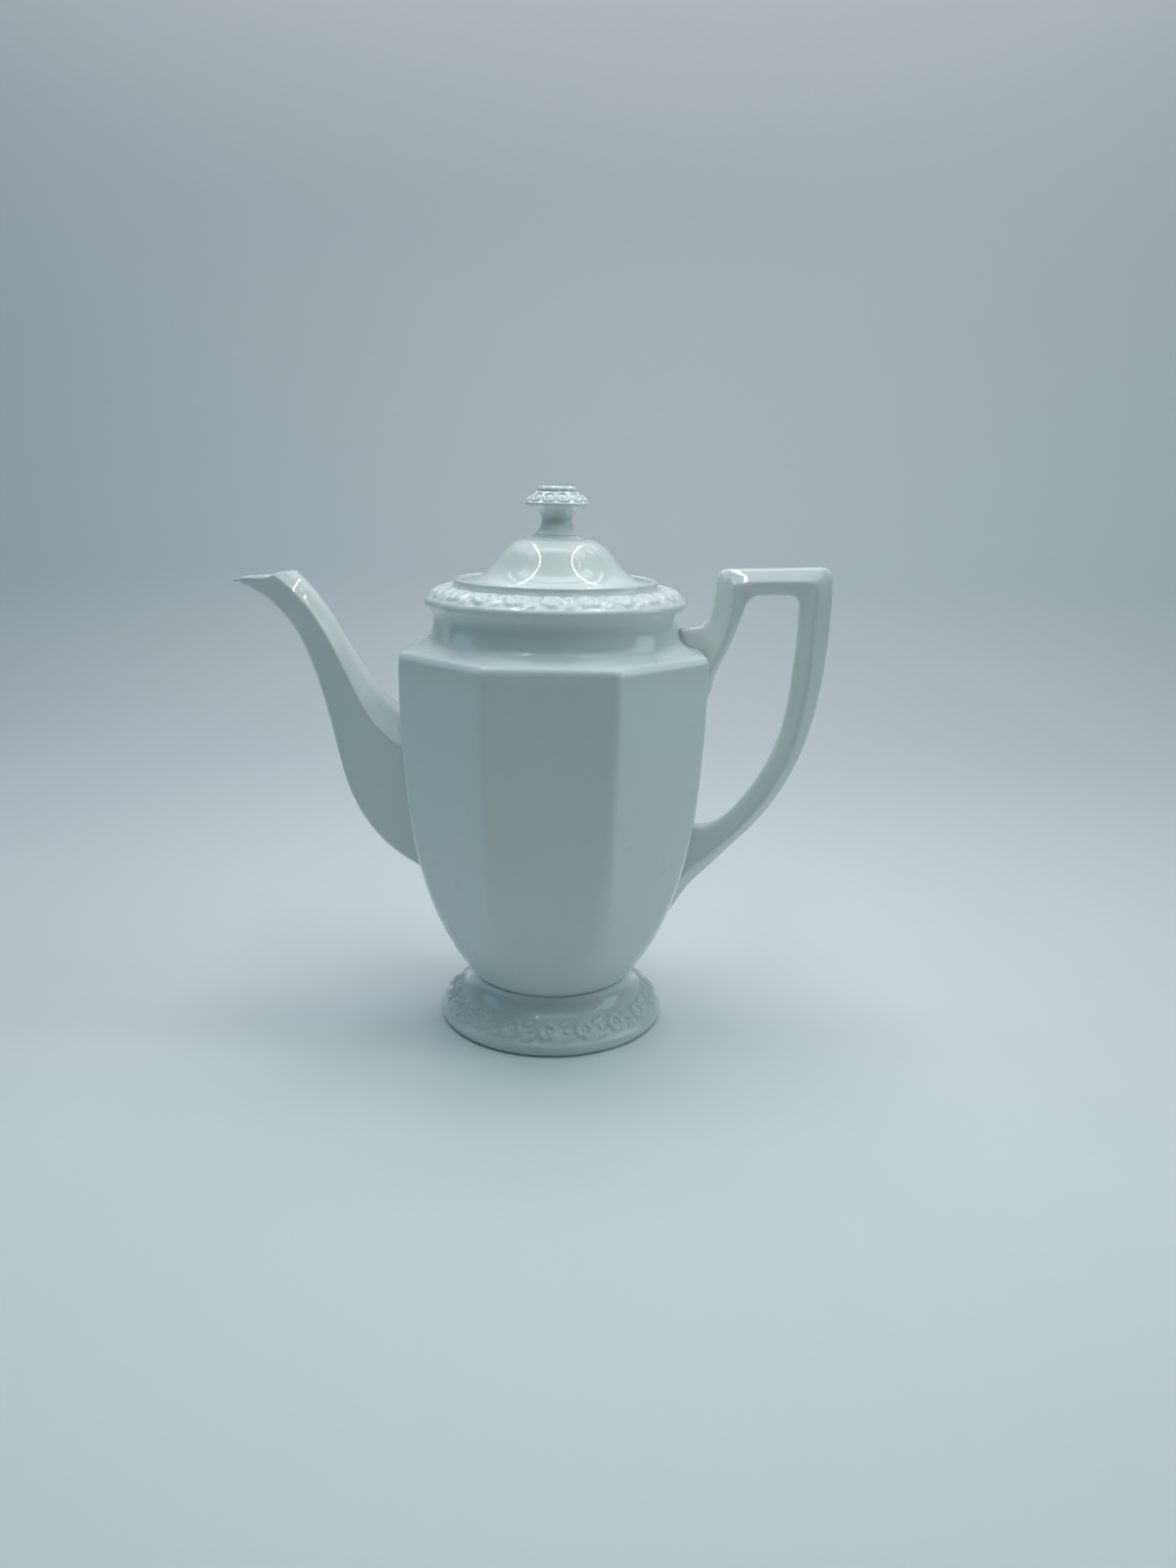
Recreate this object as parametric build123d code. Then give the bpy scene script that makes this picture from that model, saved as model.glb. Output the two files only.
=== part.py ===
from build123d import *
import os

# A porcelain coffee pot with an octagonal body. All sizes are in millimetres. +Z is up, the spout
# points along -X and the handle along +X. The origin is the middle of the foot, on the table.
# The clay pieces that are stuck together with slip before firing are separate solids here.

# --- driving dimensions -------------------------------------------------------------------------
WALL = 4.0                    # thickness of the thrown or cast clay wall
SEAM_HEIGHT = 20.5            # where the body stands on its pedestal foot
SEAM_RADIUS = 34.0
FLOOR_THICKNESS = 5.0
FLOOR_APOTHEM = 31.0          # the octagonal floor of the coffee space, nearly round
FLOOR_CORNER = 28.0
INNER_CORNER_MIN = 3.0        # no inside corner is sharper than this

# Body outside: height, apothem of the octagon, radius of its rounded corners
BODY_STATIONS = (
    (SEAM_HEIGHT, SEAM_RADIUS, 33.0),
    (33.0, 41.3, 26.0),
    (48.0, 47.6, 17.0),
    (66.0, 52.9, 11.0),
    (88.0, 57.1, 7.5),
    (112.0, 59.4, 6.0),
    (134.0, 60.5, 5.0),
    (155.0, 61.0, 5.0),
)
# Shoulder: the octagon turns into the round neck
SHOULDER_STATIONS = (
    (155.0, 61.0, 5.0),
    (158.2, 60.2, 5.5),
    (160.6, 58.6, 7.5),
    (162.6, 56.0, 14.0),
    (164.6, 53.4, 27.0),
    (168.0, 50.7, 46.0),
)

# Neck, rim and the gallery ring that holds the lid
NECK_RADIUS = 49.5
NECK_HEIGHT = 172.0           # the waist of the neck
RIM_UNDER_HEIGHT = 177.6
RIM_UNDER_RADIUS = 52.4
RIM_RADIUS = 53.1
RIM_BEAD_HEIGHT = 179.0
BAND_LOW_RADIUS = 52.3        # the sloping band that carries the garland
BAND_LOW_HEIGHT = 180.8
BAND_MID_RADIUS = 47.6
BAND_MID_HEIGHT = 184.2
BAND_TOP_HEIGHT = 186.0
RING_RADIUS = 41.0
RING_INNER_RADIUS = 38.4
RING_HEIGHT = 188.0
RING_EDGE = 0.9
SEAT_HEIGHT = 184.0           # the ledge under the lid's brim
MOUTH_RADIUS = 33.6
LEDGE_EDGE_HEIGHT = 181.0     # underside of the ledge at the mouth
INNER_SHOULDER_RADIUS = 45.3  # where the shoulder meets the neck on the inside
INNER_SHOULDER_CORNER = 43.8
INNER_SHOULDER_HEIGHT = 166.0
NECK_BORE_RADIUS = 44.9
LEDGE_ROOT_HEIGHT = 177.2
OVERLAP = 1.0                 # how far a cutting shape runs past the surface that it cuts

# Lid
BRIM_RADIUS = 37.9
BRIM_EDGE_HEIGHT = 186.5
BRIM_EDGE_ROUND = 0.7
SKIRT_RADIUS = 33.0
SKIRT_INNER_RADIUS = 30.0
SKIRT_DEPTH = 12.5
DOME_FOOT = (30.0, 189.2)     # radius and height where the brim turns up into the dome
DOME_FLANK = (26.3, 192.7)
DOME_WAIST = (20.4, 199.4)
DOME_SHOULDER = (15.4, 203.4)
LID_TOP_RADIUS = 9.2
LID_TOP_HEIGHT = 205.4
LID_THICKNESS = 3.5
DOME_FLANK_DROP = 1.2         # how much lower the dome's inside is at its flank and waist
DOME_WAIST_DROP = 1.6
VENT_RADIUS = 1.5
VENT_OFFSET = 21.0
VENT_LENGTH = 30.0

# Locking lug on the lid's skirt, and the notch in the ledge that lets it through
LUG_WIDTH = 9.0
LUG_REACH = 36.8
LUG_HEIGHT = 3.5
LUG_BOTTOM = 173.0
NOTCH_WIDTH = 10.6
NOTCH_REACH = 37.6
NOTCH_OVERLAP = 3.0

# Knob
KNOB_BASE_RADIUS = 9.0
KNOB_BASE_FLARE = (7.1, 208.3)   # radius and height
KNOB_WAIST = (6.0, 211.5)
KNOB_CAP_FLARE = (7.0, 213.9)
KNOB_CAP_RADIUS = 12.6
KNOB_CAP_LOW = 216.4
KNOB_CAP_HIGH = 217.6
KNOB_CAP_MID = (10.6, 220.4)
KNOB_BUTTON_RADIUS = 7.6
KNOB_BUTTON_LOW = 222.2
KNOB_BUTTON_EDGE = 0.8
KNOB_TOP = 225.0

# Pedestal foot
FOOT_CONTACT_RADIUS = 46.4
FOOT_CONTACT_WIDTH = 3.2
FOOT_BULGE = (48.1, 3.0)      # radius and height
FOOT_BAND_TOP = (47.2, 6.0)
FOOT_RELIEF_MID = (44.0, 10.6)
FOOT_RELIEF_TOP = (38.9, 13.6)
FOOT_COVE_MID = (35.3, 16.6)
FOOT_WALL = 4.4
FOOT_THROAT_HEIGHT = 12.6     # the hollow under the body is narrow above this and flares below
FOOT_LIP_HEIGHT = 5.0
FOOT_LIP_FLARE = 2.0

# Hexagonal section of the spout and the handle, as shares of the half width and of the height
SPOUT_RIDGE = 0.66            # where the side edge sits between the underside and the top
SPOUT_LOW_FLAT = 0.42
SPOUT_HIGH_FLAT = 0.50
SPOUT_WALL = 2.8
# Spout stations from root to tip: underside x and z, top x and z, half width
SPOUT_STATIONS = (
    (-46.5, 61.6, -50.0, 136.0, 17.0),
    (-57.4, 67.2, -64.0, 136.4, 16.4),
    (-68.7, 74.8, -67.4, 137.8, 15.2),
    (-79.3, 87.2, -69.7, 139.6, 13.9),
    (-86.4, 102.3, -71.8, 142.0, 12.8),
    (-91.0, 120.6, -75.1, 146.2, 11.5),
    (-95.2, 138.0, -79.6, 153.0, 10.4),
    (-100.3, 154.0, -85.7, 163.0, 9.4),
    (-106.8, 167.2, -92.4, 174.2, 8.5),
    (-115.5, 176.8, -99.9, 184.0, 7.8),
    (-124.2, 182.3, -107.4, 191.2, 7.0),
    (-133.0, 185.6, -116.5, 197.5, 5.6),
)
TIP_X = -130.2
MOUTH_TIP_HEIGHT = 185.3
MOUTH_SLOPE = 0.16            # rise of the mouth's cut from the tip towards the body
WALL_HOLE_WIDTH = 20.0        # the hole in the body's wall behind the spout
WALL_HOLE_LENGTH = 42.0
WALL_HOLE_HEIGHT = 98.0
WALL_HOLE_START_X = -40.0
WALL_HOLE_DEPTH = 30.0
SPOUT_SIDE_WALL = 1.1         # the aslant sides are this many times as thick as the wall
MOUTH_CUT_SIZE = (80.0, 60.0, 40.0)

HANDLE_RIDGE = 0.5
HANDLE_FLAT = 0.52
# Handle stations: outer x and z, inner x and z, half width. The post rises from the shoulder.
POST_STATIONS = (
    (45.0, 166.0, 55.0, 134.0, 9.4),
    (51.0, 168.9, 62.4, 139.0, 8.9),
    (57.6, 169.6, 65.6, 149.6, 8.0),
    (61.8, 173.0, 69.8, 159.2, 7.2),
    (63.6, 178.6, 73.4, 168.2, 6.9),
    (64.2, 185.0, 75.9, 175.6, 6.8),
    (65.0, 193.0, 77.6, 182.4, 6.8),
)
BAR_STATIONS = (
    (65.0, 193.0, 77.6, 182.4, 6.8),
    (88.4, 194.2, 88.2, 182.7, 6.8),
    (111.4, 194.6, 98.5, 182.9, 6.8),
)
GRIP_STATIONS = (
    (111.4, 194.6, 98.5, 182.9, 6.8),
    (111.6, 175.0, 98.6, 170.0, 6.8),
    (110.3, 152.5, 97.4, 151.0, 6.8),
    (106.6, 130.0, 94.7, 130.0, 6.8),
    (98.8, 107.8, 88.5, 112.3, 6.8),
    (86.6, 88.8, 79.4, 97.6, 6.9),
    (74.6, 76.8, 71.0, 88.9, 7.3),
    (64.6, 67.2, 63.8, 85.9, 8.2),
    (55.8, 56.2, 58.8, 86.3, 9.2),
    (46.0, 44.0, 50.0, 86.4, 9.6),
)


# --- helpers -------------------------------------------------------------------------------------
def octagon(height, apothem, corner):
    """A level octagon with rounded corners, flat towards the spout, the handle and the sides."""
    sharp = RegularPolygon(apothem, 8, major_radius=False, rotation=22.5)
    return Pos(0, 0, height) * fillet(sharp.vertices(), corner)


def octagon_loft(stations):
    """A smooth solid through octagons."""
    return loft([octagon(*station) for station in stations])


def hexagon(low_x, low_z, high_x, high_z, half_width, ridge, low_flat, high_flat):
    """A hexagon across the XZ plane between two outline points, with an edge on each side."""
    ridge_x = low_x + ridge * (high_x - low_x)
    ridge_z = low_z + ridge * (high_z - low_z)
    corners = [
        (low_x, -low_flat * half_width, low_z),
        (ridge_x, -half_width, ridge_z),
        (high_x, -high_flat * half_width, high_z),
        (high_x, high_flat * half_width, high_z),
        (ridge_x, half_width, ridge_z),
        (low_x, low_flat * half_width, low_z),
    ]
    return Face(Wire.make_polygon(corners, close=True))


def thinner(station, wall):
    """The same station with every side moved inwards by the wall thickness."""
    low_x, low_z, high_x, high_z, half_width = station
    low = Vector(low_x, 0, low_z)
    high = Vector(high_x, 0, high_z)
    inward = (high - low).normalized() * wall
    low = low + inward
    high = high - inward
    return (low.X, low.Z, high.X, high.Z, half_width - wall * SPOUT_SIDE_WALL)


def spout_loft(stations):
    return loft([hexagon(*s, SPOUT_RIDGE, SPOUT_LOW_FLAT, SPOUT_HIGH_FLAT) for s in stations])


def handle_loft(stations, ruled=False):
    sections = [hexagon(*s, HANDLE_RIDGE, HANDLE_FLAT, HANDLE_FLAT) for s in stations]
    return loft(sections, ruled=ruled)


def turned(outline):
    """A solid of revolution about Z from a closed outline in the XZ plane."""
    face = make_face(outline)
    return revolve(face, Axis.Z)


def xz(radius, height):
    return (radius, 0, height)


def corner_box(low, high):
    """A box from its lowest to its highest corner."""
    size = Vector(*high) - Vector(*low)
    return Pos(*low) * Box(*size, align=(Align.MIN, Align.MIN, Align.MIN))


# --- body ----------------------------------------------------------------------------------------
def neck_and_rim():
    """The round part above the shoulder, solid to the middle: neck, bead, band and ring."""
    ring_top = RING_HEIGHT - RING_EDGE
    outline = (
        Polyline(xz(0, RING_HEIGHT), xz(0, NECK_HEIGHT), xz(NECK_RADIUS, NECK_HEIGHT))
        + Spline(
            xz(NECK_RADIUS, NECK_HEIGHT),
            xz(RIM_UNDER_RADIUS, RIM_UNDER_HEIGHT),
            tangents=((0, 0, 1), (1, 0, 0.75)),
        )
        + ThreePointArc(
            xz(RIM_UNDER_RADIUS, RIM_UNDER_HEIGHT),
            xz(RIM_RADIUS, RIM_BEAD_HEIGHT),
            xz(BAND_LOW_RADIUS, BAND_LOW_HEIGHT),
        )
        + ThreePointArc(
            xz(BAND_LOW_RADIUS, BAND_LOW_HEIGHT),
            xz(BAND_MID_RADIUS, BAND_MID_HEIGHT),
            xz(RING_RADIUS, BAND_TOP_HEIGHT),
        )
        + Line(xz(RING_RADIUS, BAND_TOP_HEIGHT), xz(RING_RADIUS, ring_top))
        + Polyline(
            xz(RING_RADIUS, ring_top),
            xz(RING_RADIUS - RING_EDGE, RING_HEIGHT),
            xz(0, RING_HEIGHT),
        )
    )
    return turned(outline)


def shoulder_loft():
    """The shoulder, which turns from the octagon into the circle of the neck."""
    sections = [octagon(*station) for station in SHOULDER_STATIONS]
    return loft(sections + [Pos(0, 0, NECK_HEIGHT) * Circle(NECK_RADIUS)])


def body_outside():
    return octagon_loft(BODY_STATIONS) + shoulder_loft() + neck_and_rim()


def body_inside():
    """The room for the coffee, the mouth and the seat of the lid."""
    floor_height = SEAM_HEIGHT + FLOOR_THICKNESS
    walls = [
        (height, apothem - WALL, max(corner - WALL, INNER_CORNER_MIN))
        for height, apothem, corner in BODY_STATIONS[1:]
    ]
    lower = octagon_loft([(floor_height, FLOOR_APOTHEM, FLOOR_CORNER)] + walls)
    shoulder = octagon_loft([
        walls[-1],
        (INNER_SHOULDER_HEIGHT, INNER_SHOULDER_RADIUS, INNER_SHOULDER_CORNER),
    ])
    neck_bottom = INNER_SHOULDER_HEIGHT - OVERLAP
    neck_top = RING_HEIGHT + OVERLAP
    neck = turned(Polyline(
        xz(0, neck_bottom),
        xz(NECK_BORE_RADIUS, neck_bottom),
        xz(NECK_BORE_RADIUS, LEDGE_ROOT_HEIGHT),
        xz(MOUTH_RADIUS, LEDGE_EDGE_HEIGHT),
        xz(MOUTH_RADIUS, SEAT_HEIGHT),
        xz(RING_INNER_RADIUS, SEAT_HEIGHT),
        xz(RING_INNER_RADIUS, neck_top),
        xz(0, neck_top),
        xz(0, neck_bottom),
    ))
    return lower + shoulder + neck


def spout_hole():
    """A tall rounded hole through the wall behind the spout."""
    slot = SlotOverall(WALL_HOLE_LENGTH, WALL_HOLE_WIDTH, rotation=90)
    start = (WALL_HOLE_START_X, 0, WALL_HOLE_HEIGHT)
    plane = Plane(origin=start, x_dir=(0, -1, 0), z_dir=(-1, 0, 0))
    return extrude(plane * slot, WALL_HOLE_DEPTH)


def lug_notch():
    half = NOTCH_WIDTH / 2
    low = (-half, MOUTH_RADIUS - NOTCH_OVERLAP, LEDGE_ROOT_HEIGHT)
    return corner_box(low, (half, NOTCH_REACH, SEAT_HEIGHT))


def make_body(outside):
    return outside - body_inside() - spout_hole() - lug_notch()


# --- foot ----------------------------------------------------------------------------------------
def make_foot():
    """A hollow pedestal ring, open underneath up to the floor of the body."""
    contact_inner = FOOT_CONTACT_RADIUS - FOOT_CONTACT_WIDTH
    inner_top = SEAM_RADIUS - FOOT_WALL
    outline = (
        Spline(
            xz(FOOT_CONTACT_RADIUS, 0),
            xz(*FOOT_BULGE),
            xz(*FOOT_BAND_TOP),
            tangents=((0.9, 0, 1), (-0.5, 0, 1)),
        )
        + ThreePointArc(xz(*FOOT_BAND_TOP), xz(*FOOT_RELIEF_MID), xz(*FOOT_RELIEF_TOP))
        + ThreePointArc(xz(*FOOT_RELIEF_TOP), xz(*FOOT_COVE_MID), xz(SEAM_RADIUS, SEAM_HEIGHT))
        + Polyline(
            xz(SEAM_RADIUS, SEAM_HEIGHT),
            xz(inner_top, SEAM_HEIGHT),
            xz(inner_top, FOOT_THROAT_HEIGHT),
            xz(contact_inner - FOOT_LIP_FLARE, FOOT_LIP_HEIGHT),
            xz(contact_inner, 0),
            xz(FOOT_CONTACT_RADIUS, 0),
        )
    )
    return turned(outline)


# --- spout and handle ----------------------------------------------------------------------------
def make_spout(outside):
    channel = spout_loft([thinner(station, SPOUT_WALL) for station in SPOUT_STATIONS])
    solid = spout_loft(SPOUT_STATIONS) - channel - outside
    rise = Vector(1, 0, MOUTH_SLOPE).normalized()
    upward = Vector(-MOUTH_SLOPE, 0, 1).normalized()
    cut_plane = Plane(origin=(TIP_X, 0, MOUTH_TIP_HEIGHT), x_dir=rise, z_dir=upward)
    above = cut_plane * Box(*MOUTH_CUT_SIZE, align=(Align.CENTER, Align.CENTER, Align.MIN))
    return biggest(solid - above)


def make_handle(outside):
    post = handle_loft(POST_STATIONS)
    bar = handle_loft(BAR_STATIONS, ruled=True)
    grip = handle_loft(GRIP_STATIONS)
    return biggest(post + bar + grip - outside)


def biggest(shape):
    """The main solid of a cut shape, without the ends that were cut off."""
    return max(shape.solids(), key=lambda solid: solid.volume)


# --- lid and knob --------------------------------------------------------------------------------
def make_lid():
    """Brim, dome and skirt turned about Z, with a locking lug and a vent."""
    skirt_bottom = SEAT_HEIGHT - SKIRT_DEPTH
    inner_top = LID_TOP_HEIGHT - LID_THICKNESS
    inner_top_radius = LID_TOP_RADIUS - OVERLAP
    brim_round = BRIM_EDGE_HEIGHT - BRIM_EDGE_ROUND
    outline = (
        Polyline(xz(0, LID_TOP_HEIGHT), xz(LID_TOP_RADIUS, LID_TOP_HEIGHT))
        + Spline(
            xz(LID_TOP_RADIUS, LID_TOP_HEIGHT),
            xz(*DOME_SHOULDER),
            xz(*DOME_WAIST),
            xz(*DOME_FLANK),
            xz(*DOME_FOOT),
        )
        + Line(xz(*DOME_FOOT), xz(BRIM_RADIUS - BRIM_EDGE_ROUND, BRIM_EDGE_HEIGHT))
        + Polyline(
            xz(BRIM_RADIUS - BRIM_EDGE_ROUND, BRIM_EDGE_HEIGHT),
            xz(BRIM_RADIUS, brim_round),
            xz(BRIM_RADIUS, SEAT_HEIGHT),
            xz(SKIRT_RADIUS, SEAT_HEIGHT),
            xz(SKIRT_RADIUS, skirt_bottom),
            xz(SKIRT_INNER_RADIUS, skirt_bottom),
            xz(SKIRT_INNER_RADIUS, SEAT_HEIGHT),
        )
        + Spline(
            xz(SKIRT_INNER_RADIUS, SEAT_HEIGHT),
            xz(DOME_FLANK[0] - LID_THICKNESS, DOME_FLANK[1] - DOME_FLANK_DROP),
            xz(DOME_WAIST[0] - LID_THICKNESS, DOME_WAIST[1] - DOME_WAIST_DROP),
            xz(inner_top_radius, inner_top),
        )
        + Polyline(xz(inner_top_radius, inner_top), xz(0, inner_top), xz(0, LID_TOP_HEIGHT))
    )
    half = LUG_WIDTH / 2
    lug_start = SKIRT_RADIUS - OVERLAP
    lug = corner_box((-half, lug_start, LUG_BOTTOM), (half, LUG_REACH, LUG_BOTTOM + LUG_HEIGHT))
    vent = Pos(0, VENT_OFFSET, DOME_WAIST[1]) * Cylinder(VENT_RADIUS, VENT_LENGTH)
    return turned(outline) + lug - vent


def make_knob():
    outline = (
        Polyline(xz(0, KNOB_TOP), xz(0, LID_TOP_HEIGHT), xz(KNOB_BASE_RADIUS, LID_TOP_HEIGHT))
        + Spline(
            xz(KNOB_BASE_RADIUS, LID_TOP_HEIGHT),
            xz(*KNOB_BASE_FLARE),
            xz(*KNOB_WAIST),
            xz(*KNOB_CAP_FLARE),
            xz(KNOB_CAP_RADIUS, KNOB_CAP_LOW),
        )
        + Line(xz(KNOB_CAP_RADIUS, KNOB_CAP_LOW), xz(KNOB_CAP_RADIUS, KNOB_CAP_HIGH))
        + ThreePointArc(
            xz(KNOB_CAP_RADIUS, KNOB_CAP_HIGH),
            xz(*KNOB_CAP_MID),
            xz(KNOB_BUTTON_RADIUS, KNOB_BUTTON_LOW),
        )
        + Polyline(
            xz(KNOB_BUTTON_RADIUS, KNOB_BUTTON_LOW),
            xz(KNOB_BUTTON_RADIUS, KNOB_TOP - KNOB_BUTTON_EDGE),
            xz(KNOB_BUTTON_RADIUS - KNOB_BUTTON_EDGE, KNOB_TOP),
            xz(0, KNOB_TOP),
        )
    )
    return turned(outline)


# --- output --------------------------------------------------------------------------------------
outside = body_outside()
parts = {
    "body": make_body(outside),
    "foot": make_foot(),
    "spout": make_spout(outside),
    "handle": make_handle(outside),
    "lid": make_lid(),
    "knob": make_knob(),
}

os.makedirs("parts", exist_ok=True)
for name, shape in parts.items():
    shape.label = name
    export_step(shape, f"parts/{name}.step")
print(f"room inside: {body_inside().volume / 1e6:.2f} litres")
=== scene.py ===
import math

import bmesh
import bpy
import numpy as np
from mathutils import Matrix, Vector


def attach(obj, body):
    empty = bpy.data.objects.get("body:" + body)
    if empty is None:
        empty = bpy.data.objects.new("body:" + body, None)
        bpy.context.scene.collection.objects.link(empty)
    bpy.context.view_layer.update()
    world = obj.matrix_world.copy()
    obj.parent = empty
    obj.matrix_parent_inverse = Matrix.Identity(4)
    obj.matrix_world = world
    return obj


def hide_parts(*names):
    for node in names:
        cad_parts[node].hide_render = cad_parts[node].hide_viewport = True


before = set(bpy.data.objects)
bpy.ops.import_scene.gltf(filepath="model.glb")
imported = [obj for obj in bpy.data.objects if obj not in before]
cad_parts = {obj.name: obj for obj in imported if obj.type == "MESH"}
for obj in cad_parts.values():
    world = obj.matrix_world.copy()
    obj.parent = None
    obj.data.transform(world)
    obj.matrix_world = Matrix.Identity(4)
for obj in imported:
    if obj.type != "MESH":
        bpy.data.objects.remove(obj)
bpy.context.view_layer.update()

# The looks of a glazed porcelain coffee pot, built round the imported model. Shapes are worked out in
# millimetres and written to the meshes in metres. +Z is up, the spout points along -X.

MM = 0.001

# --- driving dimensions, in millimetres ------------------------------------------------------------
SIDES = 8
SECTOR = 2 * math.pi / SIDES
SEAM_HEIGHT = 20.5                 # where the body stands on its pedestal foot
FLOOR_HEIGHT = 25.5
WALL = 4.0

# Body outside: height, apothem of the octagon, radius of its rounded corners
BODY_STATIONS = (
    (21.0, 34.2, 32.9),
    (33.0, 41.3, 26.0),
    (48.0, 47.6, 17.0),
    (66.0, 52.9, 11.0),
    (88.0, 57.1, 7.5),
    (112.0, 59.4, 6.0),
    (134.0, 60.5, 5.0),
    (150.0, 60.8, 4.6),
    (156.3, 60.7, 4.4),
    (158.6, 60.5, 4.4),
    (160.3, 59.7, 4.8),
    (160.9, 58.7, 6.5),
    (161.3, 57.4, 10.0),
    (161.6, 56.0, 16.0),
    (162.0, 54.5, 25.0),
    (162.7, 53.0, 36.0),
    (164.0, 51.6, 47.0),
    (166.0, 50.6, 50.6),
    (168.8, 49.9, 49.9),
    (172.0, 49.6, 49.6),
    (175.0, 50.4, 50.4),
    (177.4, 52.2, 52.2),
)
BODY_FOOT_EDGE = ((0, SEAM_HEIGHT), (33.6, SEAM_HEIGHT), (34.2, 21.0))
BODY_FOOT_ROUND = 0.4
BEAD_ROOT = (52.2, 177.4)
BAND_LOW = (52.3, 180.8)           # radius and height where the garland's band starts
BAND_MID = (47.8, 183.5)
BAND_TOP = (41.0, 184.7)
RIM_BEAD = (53.1, 179.0)
RING_RADIUS = 41.0
RING_INNER_RADIUS = 38.4
RING_HEIGHT = 188.0
SEAT_HEIGHT = 184.0
MOUTH_RADIUS = 33.6
LEDGE_EDGE_HEIGHT = 181.0
LEDGE_ROOT = (44.9, 177.2)
RIM_ROUND = 1.1                    # the edges of the ring, the seat and the ledge
INNER_SHOULDER = (45.3, 166.0)
INNER_CORNER_MIN = 3.0             # no inside corner of the octagon is sharper than this
INNER_TOP_STATIONS = ((166.0, 45.3, 43.8), (155.0, 57.0, 3.0))
INNER_LOW_STATIONS = ((33.0, 37.0, 22.0), (28.5, 33.4, 26.0))
INNER_FLOOR_ARC = ((33.4, 28.5), (31.4, 26.4), (28.0, FLOOR_HEIGHT))
INNER_FOLLOWS = slice(6, 1, -1)    # the body stations that the inside follows, from the top down
OUTER_BLEND = (172.0, 4.0)         # where the columns of points turn even for the round neck
INNER_BLEND = (157.0, 8.0)

NOTCH_WIDTH = 10.6                 # the gap in the ledge that lets the lid's lug through
NOTCH_START = 30.6
NOTCH_REACH = 37.6
WALL_HOLE_WIDTH = 20.0             # the pouring hole behind the spout
WALL_HOLE_LENGTH = 42.0
WALL_HOLE_HEIGHT = 98.0
WALL_HOLE_ENDS = (-50.0, -66.0)
CUT_CLEARANCE = 0.2                # how far a cutting tool stands past the surface that it opens

# Foot: radius and height along its outline
FOOT_BAND = ((46.3, 0.0), (47.4, 1.2), (48.1, 3.0), (47.8, 4.4), (46.8, 5.5))
FOOT_SLOPE = ((46.8, 5.5), (42.9, 9.1), (38.5, 12.3))
FOOT_COVE = ((38.5, 12.3), (35.3, 15.8), (34.0, 20.1))
FOOT_INSIDE = ((34.0, 20.1), (34.0, SEAM_HEIGHT), (29.6, SEAM_HEIGHT), (29.6, 12.6), (41.2, 5.0),
               (43.2, 0.0), (46.3, 0.0))
FOOT_INSIDE_ROUND = 0.9
CONTACT_HEIGHT = 0.4               # below this the foot is bare clay

BRIM_RADIUS = 37.9
BRIM_EDGE_HEIGHT = 186.5
SKIRT_RADIUS = 33.0
SKIRT_INNER_RADIUS = 30.0
SKIRT_BOTTOM = 171.5
LID_TOP_HEIGHT = 205.4
LID_TOP_EDGE = ((0, LID_TOP_HEIGHT), (9.6, LID_TOP_HEIGHT), (9.9, 204.2), (11.5, 203.9))
LID_TOP_ROUND = 0.7
LID_DOME = ((11.5, 203.9), (15.4, 203.2), (19.0, 201.2), (22.2, 198.0), (26.0, 193.2), (30.0, 189.4),
            (33.4, 187.5), (37.0, 186.6))
SEAT_GAP = 0.05                    # between the lid's brim and the seat under it
LID_EDGE = ((37.0, 186.6), (BRIM_RADIUS, BRIM_EDGE_HEIGHT - 0.1),
            (BRIM_RADIUS, SEAT_HEIGHT + SEAT_GAP), (SKIRT_RADIUS, SEAT_HEIGHT + SEAT_GAP),
            (SKIRT_RADIUS, SKIRT_BOTTOM), (SKIRT_INNER_RADIUS, SKIRT_BOTTOM),
            (SKIRT_INNER_RADIUS, SEAT_HEIGHT))
LID_EDGE_ROUND = 0.8
LID_UNDERSIDE = ((SKIRT_INNER_RADIUS, SEAT_HEIGHT), (22.8, 191.5), (16.9, 197.8), (8.2, 201.9))
LID_UNDERSIDE_TOP = 201.9
LUG_WIDTH = 9.0
LUG_REACH = 36.8
LUG_ROOT = 1.5                     # how far the lug runs into the skirt
LUG_BOTTOM = 173.0
LUG_HEIGHT = 3.5
VENT_RADIUS = 1.5
VENT_OFFSET = 21.0
VENT_ENDS = (185.0, 215.0)
VENT_SIDES = 32

# Knob: radius and height along its outline
KNOB_BASE = ((0, 205.45), (8.6, 205.45))
KNOB_STEM = ((9.1, 205.45), (8.3, 206.3), (7.1, 207.7), (6.1, 210.7), (6.5, 213.0), (7.3, 214.4),
             (8.8, 215.5), (10.6, 216.2), (12.2, 216.6))
KNOB_RIM = ((12.2, 216.6), (12.8, 216.7), (12.9, 217.9), (12.4, 218.2))
KNOB_RIM_ROUND = 0.35
KNOB_CONE = ((12.4, 218.2), (7.9, 222.1))
KNOB_BUTTON = ((7.9, 222.1), (6.9, 222.3), (7.5, 222.8), (7.3, 223.6), (6.4, 224.3), (4.5, 224.0),
               (0.6, 223.8))
KNOB_BUTTON_ROUND = 0.5
KNOB_MIDDLE_HEIGHT = 223.8
BUTTON_LOBE = 0.035                # how deep the lobes of the button's edge are, as a share
BUTTON_LOBE_FADE = (3.0, 4.0)      # the radius where they start, and over what distance they grow

SPOUT_LOW_FLAT = 0.42              # the flats below and above, as shares of the spout's width
SPOUT_HIGH_FLAT = 0.40
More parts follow.
